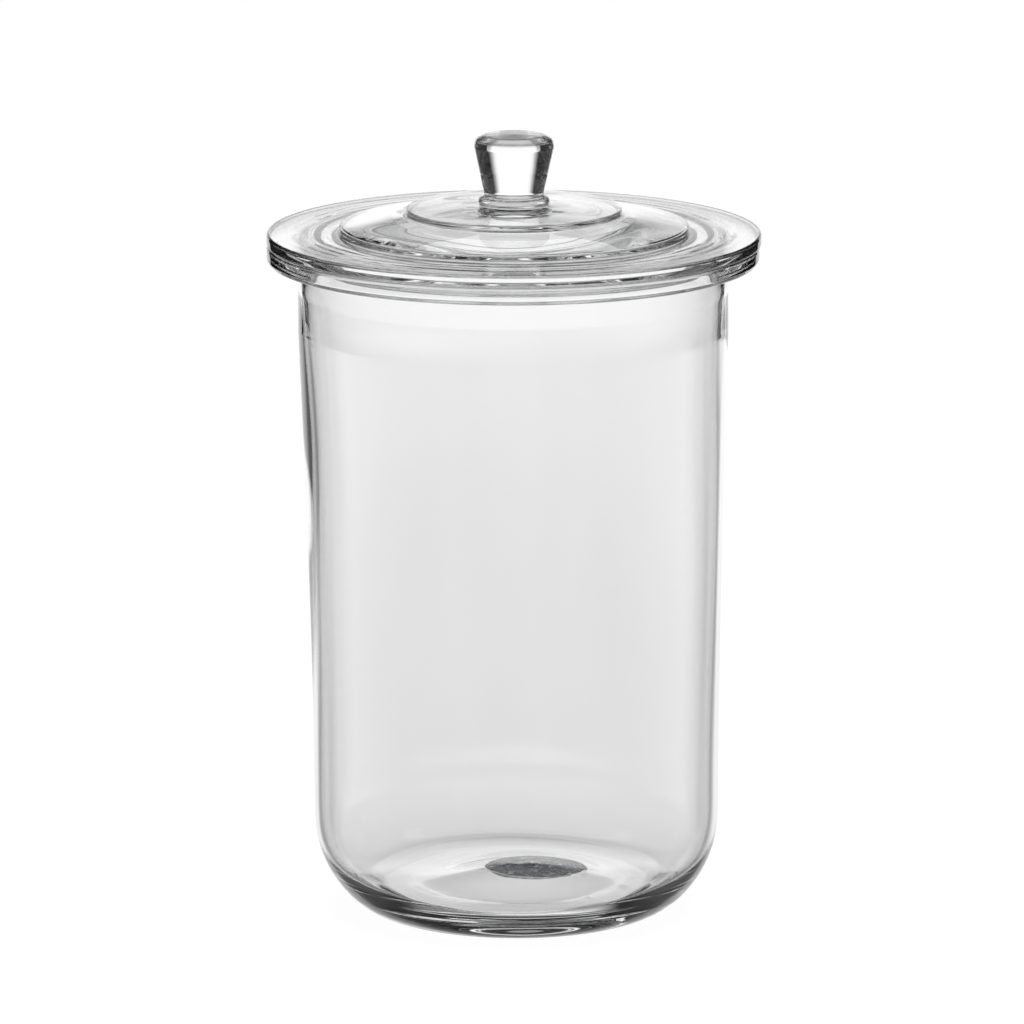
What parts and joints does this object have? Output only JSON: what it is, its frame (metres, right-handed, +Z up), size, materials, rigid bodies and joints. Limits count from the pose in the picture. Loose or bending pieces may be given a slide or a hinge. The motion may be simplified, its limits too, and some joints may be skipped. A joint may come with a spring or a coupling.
{
  "type": "lidded glass canister",
  "caption": "Clear blown-glass storage canister with a thick pushed-up base, a flared rim and a stepped lift-off glass lid with a solid glass knob.",
  "frame": {"origin": "middle of the foot, on the surface the canister stands on", "axes": "+Z up along the canister's axis; +X towards the side on which the ground mark in the base lies"},
  "size_m": [0.2, 0.2, 0.3204],
  "materials": {
    "glass_vessel": "clear polished blown glass, faintly wavy, very slightly cool",
    "glass_lid": "clear polished glass with hot-formed steps",
    "glass_collar": "clear fire-polished glass",
    "glass_knob": "clear solid fire-polished glass"
  },
  "bodies": {
    "jar": {"jar_body": "glass_vessel"},
    "lid": {"lid_plate": "glass_lid", "knob_collar": "glass_collar", "knob": "glass_knob"}
  },
  "joints": [
    {"name": "lid_lift", "type": "slide", "parent": "jar", "child": "lid", "axis": [0, 0, 1], "range_m": [0, 0.045]}
  ]
}
